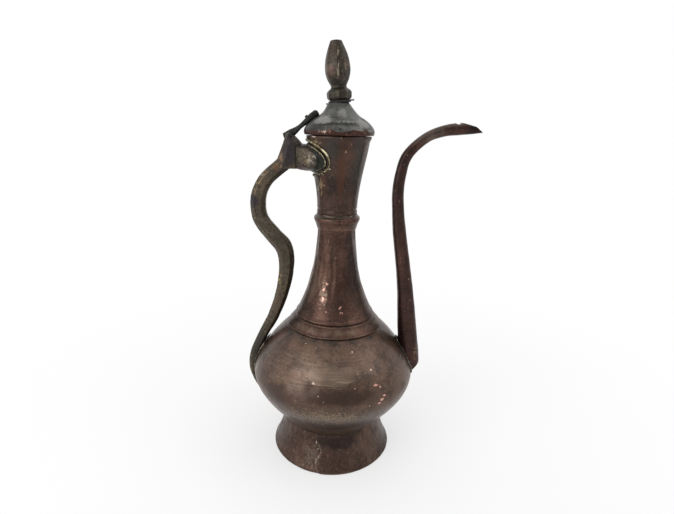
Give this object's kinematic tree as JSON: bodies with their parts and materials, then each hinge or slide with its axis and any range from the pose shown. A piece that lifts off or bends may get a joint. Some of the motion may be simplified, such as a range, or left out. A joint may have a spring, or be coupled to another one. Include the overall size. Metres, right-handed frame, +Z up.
{
  "type": "copper ewer",
  "caption": "Tall copper ewer: round belly on a flared foot, slender neck with a ring, hooked spout, S-shaped cast handle and a hinged ogee lid with a faceted finial.",
  "frame": {"origin": "middle of the object's bounding box on the plane that the foot stands on", "axes": "+Z up; the spout points along +X, the handle along -X, +Y is to the left of the spout"},
  "size_m": [0.18, 0.1336, 0.3308],
  "materials": {
    "copper_brown": "worn brown patina on planished copper",
    "copper_dark": "dark red-brown patina on hammered copper",
    "cast_brass": "dull greenish cast brass, rubbed at the edges",
    "tinned_copper": "grey worn tinning with copper showing at the brim",
    "iron": "blackened wrought iron",
    "solder": "rough yellow hard solder"
  },
  "bodies": {
    "jug": {"foot": "copper_brown", "belly": "copper_brown", "neck": "copper_brown", "neck_ring": "copper_dark", "mouth_cone": "copper_dark", "spout": "copper_dark", "spout_solder": "solder", "handle": "cast_brass", "tail_solder": "solder", "handle_saddle": "cast_brass", "saddle_solder": "solder", "hinge_pin": "iron"},
    "lid": {"lid": "tinned_copper", "lid_bezel": "tinned_copper", "finial": "cast_brass", "finial_rove": "copper_brown", "finial_wire": "iron", "hinge_arm": "iron", "arm_rivet_1": "iron", "arm_rivet_2": "iron"}
  },
  "joints": [
    {"name": "lid_hinge", "type": "hinge", "parent": "jug", "child": "lid", "pos_m": [-0.05506, 0, 0.26225], "axis": [0, -1, 0], "range_deg": [0, 105]}
  ]
}
